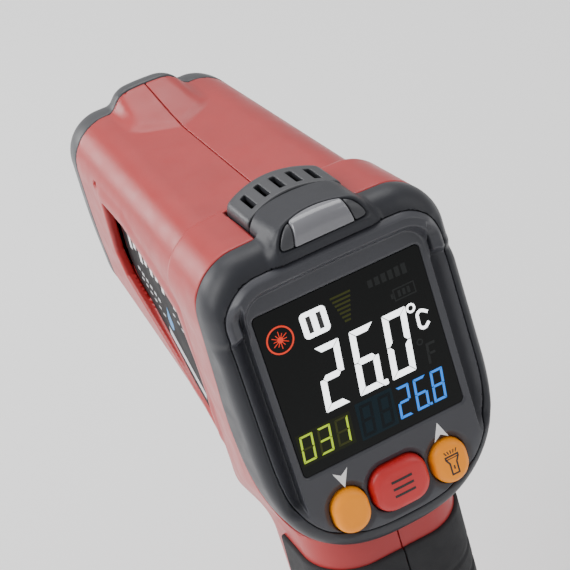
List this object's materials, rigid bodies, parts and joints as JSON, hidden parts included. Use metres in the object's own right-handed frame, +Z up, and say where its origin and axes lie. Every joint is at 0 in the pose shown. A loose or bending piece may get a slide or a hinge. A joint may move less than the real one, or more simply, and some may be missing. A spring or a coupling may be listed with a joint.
{
  "type": "infrared thermometer",
  "caption": "Pistol-grip infrared thermometer with a tilted colour display, keypad, sounder grille, alarm lamp, trigger, muzzle optics and a hinged battery door in the grip.",
  "frame": {"origin": "centre of the flat face at the foot of the grip", "axes": "+X to the user's right, +Y out of the muzzle, +Z up from the foot of the grip to the head"},
  "size_m": [0.05, 0.1036, 0.1494],
  "materials": {
    "red_shell": "satin moulded plastic, finely textured",
    "grey_shell": "satin moulded plastic, finely textured",
    "dark_shell": "satin moulded plastic, dark",
    "window": "polished smoked window with a lit display behind it",
    "amber_button": "satin moulded rubber keypad cap",
    "red_button": "satin moulded keypad cap",
    "clear_lens": "polished clear plastic",
    "ir_lens": "smooth infrared plastic",
    "black_plastic": "matt black plastic",
    "label_film": "satin printed film",
    "rubber_grip": "matt textured rubber",
    "steel": "zinc-plated",
    "brass": "turned",
    "board": "circuit board with green solder mask",
    "chip": "black epoxy",
    "white_plastic": "white plastic",
    "lcd_glass": "liquid crystal cell",
    "led": "clear epoxy over a chip",
    "cell_wrap": "plain printed sleeve",
    "flex": "polyimide film",
    "elastomer": "striped conductive silicone",
    "wire_insulation": "wire insulation"
  },
  "bodies": {
    "housing": {"left_housing": "red_shell", "right_housing": "red_shell", "rear_bezel": "grey_shell", "display_frame": "grey_shell", "display_window": "window", "window_gasket": "black_plastic", "lcd_panel": "lcd_glass", "backlight": "white_plastic", "lcd_connector": "elastomer", "display_board": "board", "key_switches": "steel", "display_screws": "steel", "buzzer_grille": "dark_shell", "buzzer": "black_plastic", "lamp_frame": "grey_shell", "alarm_lens": "clear_lens", "alarm_led": "led", "muzzle_ring": "dark_shell", "sensor_cone": "black_plastic", "infrared_lens": "ir_lens", "lens_ring": "brass", "thermopile_sensor": "steel", "laser_module": "brass", "torch_led": "led", "torch_lens": "clear_lens", "main_board": "board", "main_chips": "chip", "board_capacitor": "black_plastic", "ribbon_cable": "flex", "trigger_pin": "steel", "trigger_spring": "steel", "trigger_board": "board", "trigger_switch": "black_plastic", "left_grip": "rubber_grip", "right_grip": "rubber_grip", "battery_tray": "black_plastic", "batteries": "cell_wrap", "battery_contacts": "steel", "power_leads": "wire_insulation", "left_label": "label_film", "right_label": "label_film", "housing_screws": "steel"},
    "trigger": {"trigger": "dark_shell"},
    "mode_button": {"mode_button": "red_button"},
    "up_button": {"up_button": "amber_button"},
    "down_button": {"down_button": "amber_button"},
    "battery_door": {"battery_door": "red_shell"}
  },
  "joints": [
    {"name": "trigger_pull", "type": "hinge", "parent": "housing", "child": "trigger", "pos_m": [0, 0.023, 0.095], "axis": [-1, 0, 0], "range_deg": [0, 8], "stiffness_Nm_per_rad": 0.25, "springref_deg": -4.58},
    {"name": "mode_button_press", "type": "slide", "parent": "housing", "child": "mode_button", "axis": [0, 0.9781, -0.2079], "range_m": [0, 0.0008], "stiffness_N_per_m": 700, "springref_m": -0.0006},
    {"name": "up_button_press", "type": "slide", "parent": "housing", "child": "up_button", "axis": [0, 0.9781, -0.2079], "range_m": [0, 0.0008], "stiffness_N_per_m": 700, "springref_m": -0.0006},
    {"name": "down_button_press", "type": "slide", "parent": "housing", "child": "down_button", "axis": [0, 0.9781, -0.2079], "range_m": [0, 0.0008], "stiffness_N_per_m": 700, "springref_m": -0.0006},
    {"name": "battery_door_hinge", "type": "hinge", "parent": "housing", "child": "battery_door", "pos_m": [0, 0.0172, 0.008], "axis": [-1, 0, 0], "range_deg": [0, 90]}
  ]
}
